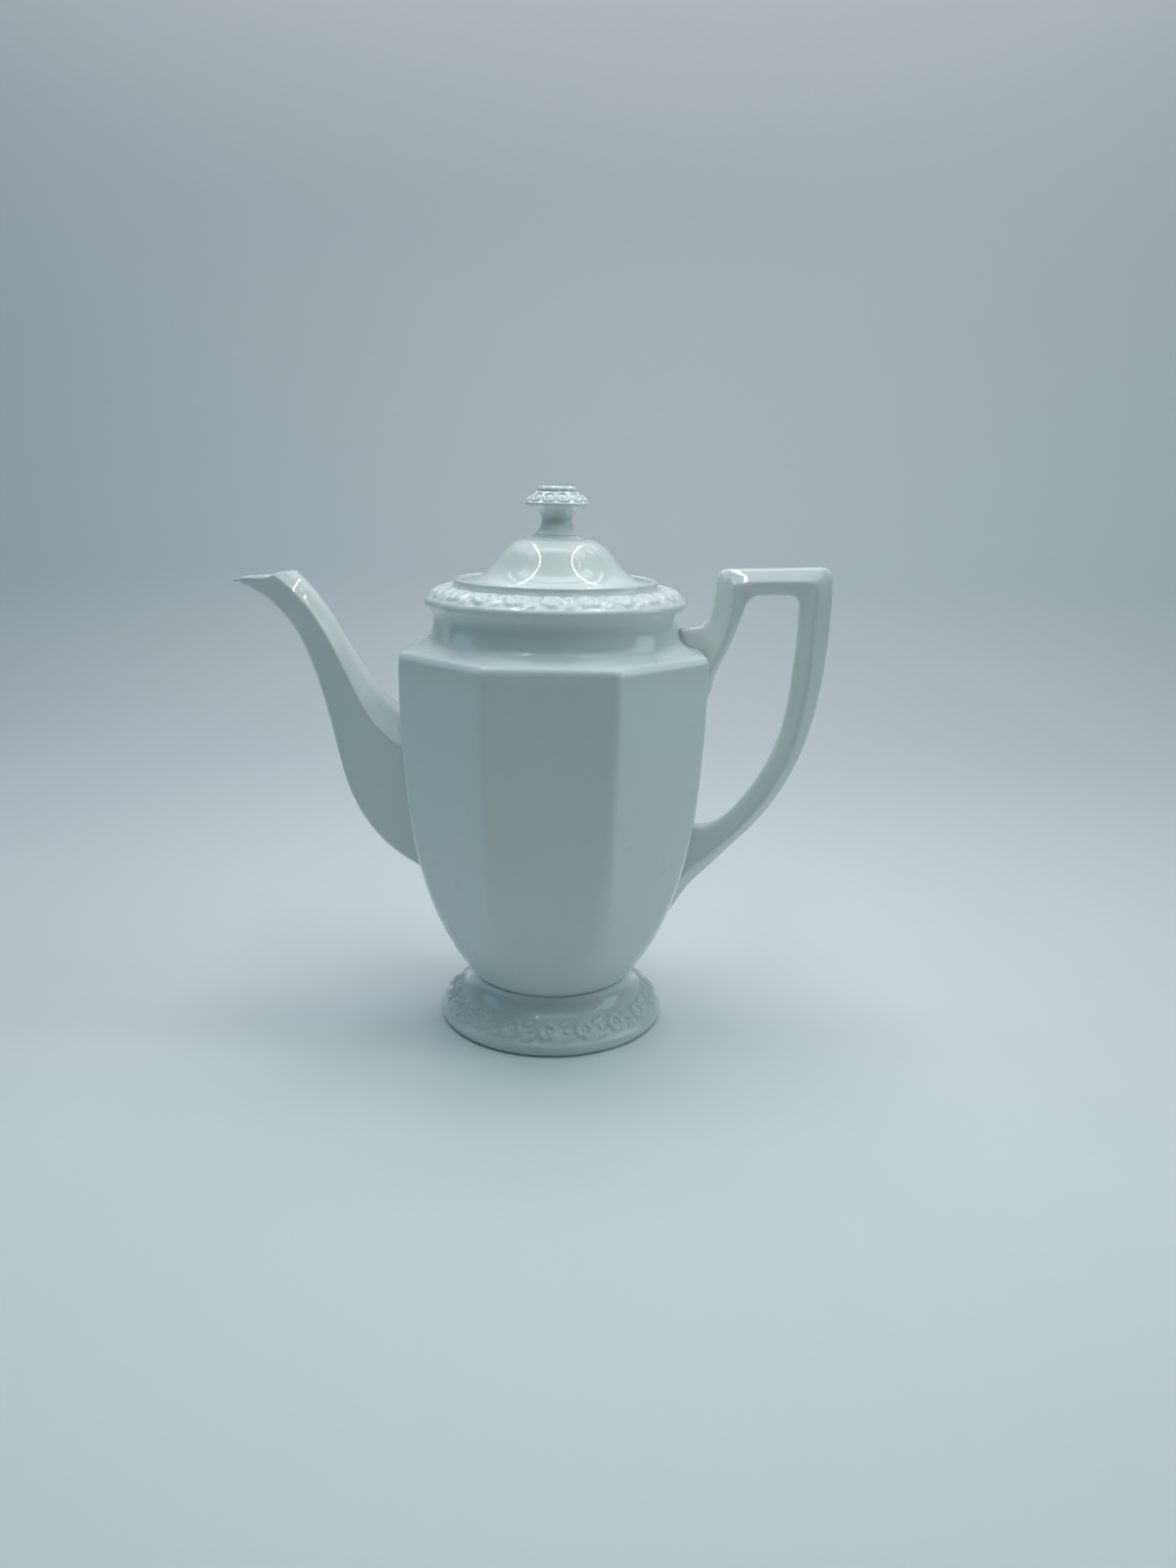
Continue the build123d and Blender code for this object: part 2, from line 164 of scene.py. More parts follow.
# Spout stations from root to tip: underside x and z, top x and z, half width, and the share of the
# height at which the side edge sits
SPOUT_STATIONS = (
    (-46.5, 61.6, -50.0, 136.0, 17.0, 0.76),
    (-57.4, 67.2, -64.0, 136.4, 16.4, 0.78),
    (-68.7, 74.8, -67.4, 137.8, 15.2, 0.795),
    (-79.3, 87.2, -69.7, 139.6, 13.9, 0.785),
    (-86.4, 102.3, -71.8, 142.0, 12.8, 0.76),
    (-91.0, 120.6, -75.1, 146.2, 11.5, 0.73),
    (-95.2, 138.0, -79.6, 153.0, 10.4, 0.715),
    (-100.3, 154.0, -85.7, 163.0, 9.5, 0.71),
    (-106.8, 167.2, -92.4, 174.2, 9.0, 0.70),
    (-115.5, 176.8, -99.9, 184.0, 8.9, 0.69),
    (-124.2, 182.3, -107.4, 191.2, 8.9, 0.68),
    (-133.0, 185.6, -116.5, 197.5, 8.2, 0.67),
)
SPOUT_TIP = (-130.2, 185.3)        # x and height of the mouth's lowest point
MOUTH_LENGTH = 22.0                # from the tip to the back of the mouth
BEAK_RISE = 1.5                    # how far the pointed tip dips below the mouth's level part
BEAK_SHARE = 0.4                   # and over what share of the mouth's length
HUMP_RISE = 2.4                    # how far the back of the mouth stands up above the level part
HUMP_START = 0.6
MOUTH_SHARES = (-0.2, 1.3)         # how far past its two ends the mouth's outline is followed
BEAK_LIMIT = 1.5
SPOUT_ROUNDS = (3.2, 1.2, 4.6, 4.6, 1.2, 3.2)      # at the six edges, outside
CHANNEL_ROUNDS = (3.0, 2.0, 2.0, 2.0, 2.0, 3.0)    # and inside
SPOUT_ROOT_WALL = 3.0
CHANNEL_SIDE_SHARE = 1.1           # the side walls against the wall above and below
SPOUT_COLLAR_REACH = 3.0           # the raised band where the spout's upper faces meet the body
SPOUT_COLLAR_HEIGHT = 1.3
SPOUT_COLLAR_STEP = 0.6            # how soon the collar ends
SPOUT_POCKET_DEPTH = 1.8           # the hollow just beyond the collar
SPOUT_POCKET_REACH = 5.0
SEAM_SHADE_REACH = 0.9                   # how far the painted shade of a seam reaches
SEAM_GROOVE = 0.5
SLIP_FILLET = 1.2                  # the fillet where spout and handle meet the body
FILLET_WIDTH = 0.6                 # how far it stands out, against its length
GROOVE_LENGTH = 1.6                # how long the undercut is, against its depth
SEATED_DEPTH = 2.0                 # how far spout and handle run into the body
SEAM_SHADE = 15.0                   # how much darker the painted shade at a seam is than a hollow of the relief
LEVEL_SEAM_SHADE_SHARE = 0.5             # how dark the painted shade at the seam of body and foot is, beside the other seams
SPOUT_LIP_WALL = 1.7
SPOUT_LIP_ROUND = 0.4              # how far the lip's round stands up, as a share of its wall

HANDLE_OUTER_FLAT = 0.22           # as shares of the handle's width
HANDLE_INNER_FLAT = 0.35
HANDLE_ROUNDS = (3.0, 2.0, 2.4, 2.4, 2.0, 3.0)
POST_CORNER = (4.2, 5.5)           # how far its two corners are rounded, outside and inside
GRIP_CORNER = (5.2, 4.6)
# Handle stations: outer x and z, inner x and z, half width, and the share of the depth from
# outside to inside at which the side edge sits
POST_STATIONS = (
    (45.0, 166.0, 55.0, 134.0, 9.4, 0.72),
    (51.0, 168.9, 62.4, 139.0, 8.9, 0.76),
    (57.6, 169.6, 65.6, 149.6, 8.0, 0.78),
    (61.8, 173.0, 69.8, 159.2, 7.2, 0.76),
    (63.6, 178.6, 73.4, 168.2, 6.9, 0.72),
    (64.2, 185.0, 75.9, 175.6, 6.8, 0.66),
    (65.0, 193.0, 77.6, 182.4, 6.8, 0.50),
)
GRIP_STATIONS = (
    (111.4, 194.6, 98.5, 182.9, 6.8, 0.50),
    (111.6, 175.0, 98.6, 170.0, 6.8, 0.59),
    (110.3, 152.5, 97.4, 151.0, 6.8, 0.56),
    (106.6, 130.0, 94.7, 130.0, 6.8, 0.52),
    (98.8, 107.8, 88.5, 112.3, 6.8, 0.46),
    (86.6, 88.8, 79.4, 97.6, 6.9, 0.43),
    (74.6, 76.1, 71.0, 88.9, 7.3, 0.42),
    (64.9, 66.0, 63.8, 85.9, 8.2, 0.40),
    (57.0, 57.4, 58.8, 86.3, 9.2, 0.38),
    (49.6, 46.0, 52.0, 86.4, 9.6, 0.36),
    (42.5, 39.0, 46.0, 86.8, 9.8, 0.35),
    (35.0, 33.0, 40.0, 87.0, 9.8, 0.35),
)

# Relief: blossoms, leaves and berries
RIM_BLOSSOMS = 22
RIM_BLOSSOM_RADIUS = 5.9
RIM_GARLAND_HALF = 6.2             # half the garland's width
RIM_RELIEF = 0.72
FOOT_BLOSSOMS = 18
FOOT_BLOSSOM_RADIUS = 5.1
FOOT_GARLAND_RADIUS = 43.0
FOOT_GARLAND_HALF = 5.4
FOOT_RELIEF = 1.20
FOOT_POOL_AND_SHADE = 2.2                    # how much more the foot's hollows are darkened than the rim's, by pooled glaze and painted shade
PETALS = 5
PETAL_LOBE = 0.06
PETAL_CREST = 0.60                 # where a petal is highest, as a share of the radius
PETAL_SPREAD = 0.26                # how broad the ring of petals is, as a share of the radius
PETAL_GROOVE = 0.20
PETAL_GROOVE_START = 0.3           # where the grooves between petals start, as a share of the radius
PETAL_GROOVE_POWER = 6             # the higher, the narrower
CENTRE_HEIGHT = 0.25
BUTTON_HEIGHT = 0.50
BUTTON_SIZE = 0.17
BLOSSOM_TURN = 1.9                 # radians from one blossom to the next, so that they differ
LEAF_BELLY = 0.85
LEAF_GROOVE = 0.25
LEAF_GROOVE_WIDTH = 0.35
LEAF_HEIGHT = 0.45
LEAF_WIDTH = 1.7
LEAF_SOFTNESS = 0.6
LEAF_ROOT = (1.0, 0.30)            # how far its root is under a blossom, and off the middle
LEAF_RUN = (2.0, 0.75)             # which way it points: past the gap, and across the band
LEAF_LENGTH = (3.0, 0.9)
BERRY_HEIGHT = 0.45
BERRY_RADIUS = 1.1
BERRY_SOFTNESS = 0.5
BERRY_PLACE = (0.25, 0.62)         # off the gap's middle, and off the band's middle, as shares
BORDER_LOW = 0.16                  # how much of a relief band fades out at its two borders
BORDER_HIGH = 0.12
CAP_PETALS = 12
CAP_RELIEF = 0.55
CAP_RADIUS = 10.2                  # of the circle through the middles of its petals
CAP_MIDDLE = 0.47
CAP_SPAN = 5.8
CAP_PETAL_SIZE = (2.6, 2.7)
CAP_RIB = (0.82, 0.17)             # where a petal's edge is highest, and how broad it is
CAP_HEART = (0.65, 0.55, 0.6)      # height, size and softness of the petal's middle
CAP_BORDER = 0.06
GARLAND_UNION = 3                  # the higher, the sharper the valleys between heights
CAP_UNION = 4

# Counts of points
COLUMNS = 256                      # round the pot
CORNER_SPACING = 0.16              # of the columns at the body's edges, as a share of even spacing
RELIEF_COLUMNS = 1024              # round a band that carries relief
KNOB_COLUMNS = 384
BODY_ROWS = 6                      # along each span of a curve
INNER_ROWS = 3
LID_ROWS = 8
UNDERSIDE_ROWS = 6
FOOT_ROWS = 4
STEM_ROWS = 4
BEAD_ROWS = 10                     # along a whole arc
RIM_BAND_ROWS = 38
FLOOR_ROWS = 6
FOOT_SLOPE_ROWS = 44
FOOT_COVE_ROWS = 14
KNOB_CONE_ROWS = 36
HOLE_END_POINTS = 17               # round each end of the pouring hole
SPOUT_SPAN_ROWS = 24
HANDLE_SPAN_ROWS = 16
HANDLE_BAR_ROWS = 65
LINES_PER_CORNER = 11              # along each edge of a hexagon and the flat after it
EDGE_LINES = LINES_PER_CORNER - 3
FLAT_SHARES = (0.25, 0.5, 0.75)
SPOUT_LOOPS = (0.16, 110)          # share of the length next to the body, and loops in each part
HANDLE_END_LOOPS = (0.08, 60)
HANDLE_MIDDLE_LOOPS = 190
LIP_ROWS = 8


# --- curves ----------------------------------------------------------------------------------------
ROUND_SHARE = 0.45                 # a rounded corner takes at most this share of a side
HEXAGON_SHARE = 0.46               # and this share of the shorter side of a hexagon's corner
SAME_POINT = 1e-4
ON_AXIS = 1e-6                     # smaller than any radius or width


def spline(points, per_span, spacing=2):
    """Samples a natural cubic spline through the points. The first columns set the spacing."""
    points = np.array(points, float)
    gaps = np.linalg.norm(np.diff(points[:, :spacing], axis=0), axis=1) ** 0.5
    count = len(points)
    matrix = np.eye(count)
    right = np.zeros_like(points)
    for i in range(1, count - 1):
        before, after = gaps[i - 1], gaps[i]
        matrix[i, i - 1:i + 2] = before, 2 * (before + after), after
        rise_after = (points[i + 1] - points[i]) / after
        rise_before = (points[i] - points[i - 1]) / before
        right[i] = 6 * (rise_after - rise_before)
    bend = np.linalg.solve(matrix, right)
    spans = []
    for i, gap in enumerate(gaps):
        t = (np.arange(per_span) / per_span * gap)[:, None]
        rest = gap - t
        spans.append(
            bend[i] * rest ** 3 / (6 * gap)
            + bend[i + 1] * t ** 3 / (6 * gap)
            + (points[i] / gap - bend[i] * gap / 6) * rest
            + (points[i + 1] / gap - bend[i + 1] * gap / 6) * t
        )
    return np.vstack(spans + [points[-1:]])


def arc(start, middle, end, steps):
    """Points on the circle through three points in a plane."""
    a, b, c = (np.array(p, float) for p in (start, middle, end))
    rows = np.array([b - a, c - a]) * 2
    centre = np.linalg.solve(rows, [b @ b - a @ a, c @ c - a @ a])
    radius = np.linalg.norm(a - centre)
    angles = np.unwrap([math.atan2(*(p - centre)[::-1]) for p in (a, b, c)])
    sweep = np.linspace(angles[0], angles[2], steps + 1)
    return centre + radius * np.stack([np.cos(sweep), np.sin(sweep)], 1)


def rounded(points, radius, steps=5):
    """A polyline whose inner corners are rounded."""
    points = [np.array(p, float) for p in points]
    made = [points[0]]
    for before, corner, after in zip(points, points[1:], points[2:]):
        back = before - corner
        ahead = after - corner
        reach = min(radius, ROUND_SHARE * np.linalg.norm(back), ROUND_SHARE * np.linalg.norm(ahead))
        start = corner + back / np.linalg.norm(back) * reach
        end = corner + ahead / np.linalg.norm(ahead) * reach
        for t in np.linspace(0, 1, steps + 1):
            made.append((1 - t) ** 2 * start + 2 * t * (1 - t) * corner + t * t * end)
    return np.array(made + [points[-1]])


def joined(*pieces):
    """One outline from pieces that follow each other, without repeated points."""
    points = np.vstack([np.array(piece, float) for piece in pieces])
    steps = np.linalg.norm(np.diff(points, axis=0), axis=1)
    return points[np.concatenate([[True], steps > SAME_POINT])]


def smooth_step(x):
    x = np.clip(x, 0, 1)
    return x * x * (3 - 2 * x)


def zeros(rows):
    return [np.zeros(len(row)) for row in rows]


# --- meshes ----------------------------------------------------------------------------------------
def bridge(first, second):
    """Faces between two rings of vertices: equal counts, one point, or a whole multiple."""
    a, b = len(first), len(second)
    if b == 1:
        return [face[::-1] for face in bridge(second, first)]
    if a == 1:
        return [(first[0], second[(i + 1) % b], second[i]) for i in range(b)]
    if a > b:
        return [face[::-1] for face in bridge(second, first)]
    step = b // a
    faces = []
    for i in range(a):
        many = [second[(i * step + k) % b] for k in range(step, -1, -1)]
        faces.append((first[i], first[(i + 1) % a], *many))
    return faces


def skin(name, rows, pool_and_shade=None, closed=False):
    """A mesh object over rings of points. A hollow value per point darkens its colour: pooled glaze
    and painted shade.
    """
    starts = np.cumsum([0] + [len(row) for row in rows])
    rings = [list(range(starts[i], starts[i + 1])) for i in range(len(rows))]
    faces = []
    pairs = list(zip(rings, rings[1:]))
    if closed:
        pairs.append((rings[-1], rings[0]))
    for first, second in pairs:
        faces += bridge(first, second)
    mesh = bpy.data.meshes.new(name)
    mesh.from_pydata(np.vstack(rows) * MM, [], faces)
    work = bmesh.new()
    work.from_mesh(mesh)
    bmesh.ops.recalc_face_normals(work, faces=work.faces)
    work.to_mesh(mesh)
    work.free()
    if pool_and_shade is not None:
        values = np.concatenate(pool_and_shade).astype(np.float32)
        # The hollow attribute: painted shade along the seams, and pooled glaze with painted shade in
        # the relief
        mesh.attributes.new("hollow", "FLOAT", "POINT").data.foreach_set("value", values)
    mesh.shade_smooth()
    piece = bpy.data.objects.new(name, mesh)
    bpy.context.scene.collection.objects.link(piece)
    return piece


def capped(name, rows, pool_and_shade=None):
    """A skin whose first and last ring are closed by a fan round a middle point."""
    ends = [rows[i].mean(0)[None, :] for i in (0, -1)]
    if pool_and_shade is not None:
        pool_and_shade = [np.zeros(1), *pool_and_shade, np.zeros(1)]
    return skin(name, [ends[0], *rows, ends[1]], pool_and_shade)


def turned(outline, angles):
    """Rings of points: a turned outline of radius and height, at the given angles."""
    rows = []
    for radius, height in outline:
        if radius < ON_AXIS:
            rows.append(np.array([[0, 0, height]]))
        else:
            level = np.full_like(angles, height)
            rows.append(np.stack([radius * np.cos(angles), radius * np.sin(angles), level], 1))
    return rows


def even_angles(count):
    return np.arange(count) * 2 * math.pi / count


def boolean(piece, tool, operation):
    """Cuts or joins a tool to a piece for good, and removes the tool."""
    modifier = piece.modifiers.new("cut", "BOOLEAN")
    modifier.operation = operation
    modifier.solver = "EXACT"
    modifier.object = tool
    graph = bpy.context.evaluated_depsgraph_get()
    mesh = bpy.data.meshes.new_from_object(piece.evaluated_get(graph))
    piece.modifiers.clear()
    old = piece.data
    piece.data = mesh
    bpy.data.meshes.remove(old)
    bpy.data.objects.remove(tool)
    mesh.name = piece.name


def block(low, high):
    """A closed box, as a cutting tool."""
    x0, y0, z0 = low
    x1, y1, z1 = high
    ring = [(x0, y0), (x1, y0), (x1, y1), (x0, y1)]
    return capped("tool", [np.array([(x, y, z) for x, y in ring]) for z in (z0, z1)])


# --- relief ----------------------------------------------------------------------------------------
def dome(distance, radius, softness):
    return np.clip(1 - (distance / radius) ** 2, 0, 1) ** softness


def leaf(x, y, root, angle, length, width):
    """A pointed leaf with a shallow groove along its middle."""
    along = ((x - root[0]) * math.cos(angle) + (y - root[1]) * math.sin(angle)) / length
    across = -(x - root[0]) * math.sin(angle) + (y - root[1]) * math.cos(angle)
    half = width * np.sin(math.pi * np.clip(along, 0, 1) ** LEAF_BELLY) + ON_AXIS
    blade = np.where((along > 0) & (along < 1), dome(across, half, LEAF_SOFTNESS), 0)
    rib = 1 - LEAF_GROOVE * np.exp(-(across / LEAF_GROOVE_WIDTH) ** 2)
    return blade * rib


def blossom(x, y, radius, turn):
    """A round blossom: softly lobed petals round a sunken centre with a small button."""
    distance = np.hypot(x, y)
    angle = PETALS * (np.arctan2(y, x) + turn)
    share = distance / (radius * (1 - PETAL_LOBE + PETAL_LOBE * np.cos(angle)))
    ring = np.exp(-((share - PETAL_CREST) / PETAL_SPREAD) ** 2)
    ring = np.maximum(ring, np.where(share < PETAL_CREST, CENTRE_HEIGHT, 0))
    between = (0.5 - 0.5 * np.cos(angle)) ** PETAL_GROOVE_POWER
    between = between * smooth_step((share - PETAL_GROOVE_START) / PETAL_GROOVE_START)
    button = BUTTON_HEIGHT * np.exp(-(distance / (BUTTON_SIZE * radius)) ** 4)
    return np.maximum(ring * (1 - PETAL_GROOVE * between), button)


def soft_union(heights, power):
    """The highest of several heights, with the valleys between them softened by glaze."""
    return sum(np.clip(h, 0, None) ** power for h in heights) ** (1 / power)


def border_fade(across):
    """Falls to 0 at both borders of a relief band."""
    return smooth_step(across / BORDER_LOW) * smooth_step((1 - across) / BORDER_HIGH)


def garland(turns, across, radius, half_height, repeats, blossom_radius):
    """Heights from 0 to 1 of a chain of blossoms and leaves. Turns and across are shares."""
    pitch = 2 * math.pi * radius / repeats
    place = turns * repeats
    number = np.floor(place)
    x = (place - number - 0.5) * pitch
    y = (across - 0.5) * 2 * half_height
    gap = pitch - 2 * blossom_radius
    heights = []
    for shift in (-1, 0, 1):
        unit = (number + shift) % repeats
        local_x = x - shift * pitch
        heights.append(blossom(local_x, y, blossom_radius, unit * BLOSSOM_TURN))
        middle = local_x - pitch / 2
        for side in (-1, 1):
            root = (-side * (gap / 2 + LEAF_ROOT[0]), side * LEAF_ROOT[1] * half_height)
            angle = math.atan2(side * LEAF_RUN[1] * half_height, side * (gap + LEAF_RUN[0]))
            length = math.hypot(gap + LEAF_LENGTH[0], LEAF_LENGTH[1] * half_height)
            heights.append(LEAF_HEIGHT * leaf(middle, y, root, angle, length, LEAF_WIDTH))
            x_off = middle - side * BERRY_PLACE[0] * gap
            y_off = y + side * BERRY_PLACE[1] * half_height
            heights.append(BERRY_HEIGHT * dome(np.hypot(x_off, y_off), BERRY_RADIUS, BERRY_SOFTNESS))
        heights.append(BERRY_HEIGHT * dome(np.hypot(middle, y), BERRY_RADIUS, BERRY_SOFTNESS))
    return soft_union(heights, GARLAND_UNION) * border_fade(across)


def raised(outline, angles, height_of):
    """Rings of a turned outline, lifted along its normal by a height at each turn and share."""
    outline = np.array(outline)
    slope = np.gradient(outline, axis=0)
    slope /= np.linalg.norm(slope, axis=1)[:, None]
    out = np.stack([slope[:, 1], -slope[:, 0]], 1)
    lengths = np.concatenate([[0], np.cumsum(np.linalg.norm(np.diff(outline, axis=0), axis=1))])
    across = (lengths / lengths[-1])[:, None] + 0 * angles[None, :]
    turns = (angles / (2 * math.pi))[None, :] + 0 * lengths[:, None]
    # hollow darkens the colour where the relief is low: pooled glaze with painted shade
    lift, hollow = height_of(turns, across)
    radius = outline[:, 0, None] + out[:, 0, None] * lift
    height = outline[:, 1, None] + out[:, 1, None] * lift
    rings = np.stack([radius * np.cos(angles), radius * np.sin(angles), height], 2)
    return list(rings), list(hollow)


# --- body ------------------------------------------------------------------------------------------
def octagon_radius(angles, apothem, corner):
    """Distance from the axis to an octagon with rounded corners, at each angle."""
    off_corner = np.abs(np.mod(angles, SECTOR) - SECTOR / 2)
    off_middle = SECTOR / 2 - off_corner
    straight = apothem / np.cos(off_middle)
    centre = (apothem - corner) / math.cos(SECTOR / 2)
    inside = np.clip(corner ** 2 - (centre * np.sin(off_corner)) ** 2, 0, None)
    curved = centre * np.cos(off_corner) + np.sqrt(inside)
    on_flat = np.tan(off_middle) * apothem <= (apothem - corner) * math.tan(SECTOR / 2)
    return np.where(on_flat, straight, curved)


def corner_angles():
    """Angles round the body, close together at the eight rounded edges."""
    per_side = COLUMNS // SIDES
    share = np.arange(per_side) / per_side * 2 - 1
    warped = (CORNER_SPACING * share + (1 - CORNER_SPACING) * share ** 3) * SECTOR / 2
    return np.concatenate([warped + SECTOR / 2 + side * SECTOR for side in range(SIDES)])


BODY_CURVE = spline(BODY_STATIONS, BODY_ROWS)


def body_radius(angles, heights):
    """The body's outside at each angle and height."""
    apothem = np.interp(heights, BODY_CURVE[:, 0], BODY_CURVE[:, 1])
    corner = np.interp(heights, BODY_CURVE[:, 0], BODY_CURVE[:, 2])
    return octagon_radius(angles, apothem, corner)


def ring_at(angles, radius, height):
    level = np.full_like(angles, height)
    return np.stack([radius * np.cos(angles), radius * np.sin(angles), level], 1)


def octagon_rings(curve, warped, even, blend):
    """Rings round the octagon. Their points turn from warped to even angles over the blend."""
    start, length = blend
    rows = []
    for height, apothem, corner in curve:
        angles = warped + (even - warped) * smooth_step((height - start) / length)
        rows.append(ring_at(angles, octagon_radius(angles, apothem, min(corner, apothem)), height))
    return rows


def make_body():
    """The octagonal vessel: outside, relief band, gallery ring, seat of the lid and inside."""
    warped = corner_angles()
    even = even_angles(COLUMNS) + warped[0]
    fine = even_angles(RELIEF_COLUMNS) + warped[0]

    rows = turned(rounded(BODY_FOOT_EDGE, BODY_FOOT_ROUND)[:-1], warped)
    rows += octagon_rings(BODY_CURVE, warped, even, OUTER_BLEND)
    rows += turned(arc(BEAD_ROOT, RIM_BEAD, BAND_LOW, BEAD_ROWS)[1:-1], even)
    # Painted shade along the seam with the foot
    pool_and_shade = level_seam_shade(rows)

    def rim_relief(turns, across):
        height = garland(turns, across, BAND_MID[0], RIM_GARLAND_HALF, RIM_BLOSSOMS,
                         RIM_BLOSSOM_RADIUS)
        # The second value darkens the band where it is low: pooled glaze with painted shade
        return RIM_RELIEF * height, (1 - height) * border_fade(across)

    band = arc(BAND_LOW, BAND_MID, BAND_TOP, RIM_BAND_ROWS)
    band_rows, band_pool_and_shade = raised(band, fine, rim_relief)
    rows += band_rows
    pool_and_shade += band_pool_and_shade

    top = rounded(
        [BAND_TOP, (RING_RADIUS, RING_HEIGHT), (RING_INNER_RADIUS, RING_HEIGHT),
         (RING_INNER_RADIUS, SEAT_HEIGHT), (MOUTH_RADIUS, SEAT_HEIGHT),
         (MOUTH_RADIUS, LEDGE_EDGE_HEIGHT), LEDGE_ROOT, INNER_SHOULDER],
        RIM_ROUND,
    )
    inner_stations = list(INNER_TOP_STATIONS)
    for height, apothem, corner in BODY_STATIONS[INNER_FOLLOWS]:
        inner_stations.append((height, apothem - WALL, max(corner - WALL, INNER_CORNER_MIN)))
    inner_stations += INNER_LOW_STATIONS
    floor = joined(arc(*INNER_FLOOR_ARC, FLOOR_ROWS)[1:], [(0, FLOOR_HEIGHT)])
    inside_rows = turned(top[1:], even)
    inside_rows += octagon_rings(spline(inner_stations, INNER_ROWS)[1:], warped, even, INNER_BLEND)
    inside_rows += turned(floor, warped)

    body = skin("pot_body", rows + inside_rows, pool_and_shade + zeros(inside_rows))
    boolean(body, wall_hole_tool(), "DIFFERENCE")
    half = NOTCH_WIDTH / 2
    notch_top = (half, NOTCH_REACH, SEAT_HEIGHT + CUT_CLEARANCE)
    boolean(body, block((-half, NOTCH_START, LEDGE_ROOT[1]), notch_top), "DIFFERENCE")
    return body


def wall_hole_tool():
    """A tall rounded prism along X, through the wall behind the spout."""
    half = WALL_HOLE_WIDTH / 2
    straight = WALL_HOLE_LENGTH / 2 - half
    turn = np.linspace(0, math.pi, HOLE_END_POINTS)
    upper = np.stack([half * np.cos(turn), straight + half * np.sin(turn)], 1)
    loop = np.vstack([upper, -upper])
    rows = []
    for x in WALL_HOLE_ENDS:
        rows.append(np.stack([np.full(len(loop), x), loop[:, 0], WALL_HOLE_HEIGHT + loop[:, 1]], 1))
    return capped("tool", rows)


# --- foot ------------------------------------------------------------------------------------------
def make_foot():
    """The hollow pedestal ring, with a garland on its slope and an unglazed contact ring."""
    coarse = even_angles(COLUMNS)
    fine = even_angles(RELIEF_COLUMNS)

    def foot_relief(turns, across):
        height = garland(turns, across, FOOT_GARLAND_RADIUS, FOOT_GARLAND_HALF, FOOT_BLOSSOMS,
                         FOOT_BLOSSOM_RADIUS)
        # The second value darkens the garland where it is low: pooled glaze with painted shade
        return FOOT_RELIEF * height, FOOT_POOL_AND_SHADE * (1 - height) * border_fade(across)

    outer = turned(spline(FOOT_BAND, FOOT_ROWS)[:-1], coarse)
    relief, relief_pool_and_shade = raised(arc(*FOOT_SLOPE, FOOT_SLOPE_ROWS), fine, foot_relief)
    cove = arc(*FOOT_COVE, FOOT_COVE_ROWS)
    inner = turned(joined(cove[1:], rounded(FOOT_INSIDE, FOOT_INSIDE_ROUND)[1:-1]), coarse)
    # The foot's colour is darkened by painted shade at the seam, and by pooled glaze with painted
    # shade in the garland
    pool_and_shade = level_seam_shade(outer) + relief_pool_and_shade + level_seam_shade(inner)
    return skin("pot_foot", outer + relief + inner, pool_and_shade, closed=True)


# --- lid and knob ----------------------------------------------------------------------------------
def make_lid():
    """The lid: its domed top, brim and skirt, with the lug on the skirt and the vent."""
    outline = joined(
        rounded(LID_TOP_EDGE, LID_TOP_ROUND),
        spline(LID_DOME, LID_ROWS),
        rounded(LID_EDGE, LID_EDGE_ROUND)[1:],
        spline(LID_UNDERSIDE, UNDERSIDE_ROWS)[1:],
        [(0, LID_UNDERSIDE_TOP)],
    )
    lid = skin("pot_lid", turned(outline, even_angles(COLUMNS)))
    half = LUG_WIDTH / 2
    lug_low = (-half, SKIRT_RADIUS - LUG_ROOT, LUG_BOTTOM)
    boolean(lid, block(lug_low, (half, LUG_REACH, LUG_BOTTOM + LUG_HEIGHT)), "UNION")
    turn = even_angles(VENT_SIDES)
    ring = np.stack([VENT_RADIUS * np.cos(turn), VENT_OFFSET + VENT_RADIUS * np.sin(turn)], 1)
    vent = capped("tool", [np.column_stack([ring, np.full(len(ring), z)]) for z in VENT_ENDS])
    boolean(lid, vent, "DIFFERENCE")
    return lid


def cap_relief(turns, across):
    """Heights of the ring of petals on the knob's cone: a raised edge round a small middle."""
    place = turns * CAP_PETALS
    x = (place - np.floor(place) - 0.5) * 2 * math.pi * CAP_RADIUS / CAP_PETALS
    y = (across - CAP_MIDDLE) * CAP_SPAN
    share = np.hypot(x / CAP_PETAL_SIZE[0], y / CAP_PETAL_SIZE[1])
    edge = np.exp(-((share - CAP_RIB[0]) / CAP_RIB[1]) ** 2)
    heart_height, heart_size, heart_softness = CAP_HEART
    heart = heart_height * dome(share, heart_size, heart_softness)
    fade = smooth_step(across / CAP_BORDER) * smooth_step((1 - across) / CAP_BORDER)
    height = soft_union([edge, heart], CAP_UNION) * fade
    # The second value darkens the cone where the petals are low: pooled glaze with painted shade
    return CAP_RELIEF * height, 1 - height


def make_knob():
    """The knob: a waisted stem, a cone with petals in relief and a lobed button on top."""
    angles = even_angles(KNOB_COLUMNS)
    stem = joined(KNOB_BASE, spline(KNOB_STEM, STEM_ROWS))
    lower = turned(joined(stem, rounded(KNOB_RIM, KNOB_RIM_ROUND)[1:-1]), angles)
    relief, relief_pool_and_shade = raised(np.linspace(*KNOB_CONE, KNOB_CONE_ROWS), angles, cap_relief)
    upper = []
    lobe_start, lobe_growth = BUTTON_LOBE_FADE
    for radius, height in rounded(KNOB_BUTTON, KNOB_BUTTON_ROUND)[1:]:
        depth = BUTTON_LOBE * smooth_step((radius - lobe_start) / lobe_growth)
        lobes = 1 + depth * np.cos(CAP_PETALS * angles)
        upper.append(ring_at(angles, radius * lobes, height))
    upper.append(np.array([[0, 0, KNOB_MIDDLE_HEIGHT]]))
    pool_and_shade = zeros(lower) + relief_pool_and_shade + zeros(upper)
    return skin("lid_knob", lower + relief + upper, pool_and_shade)


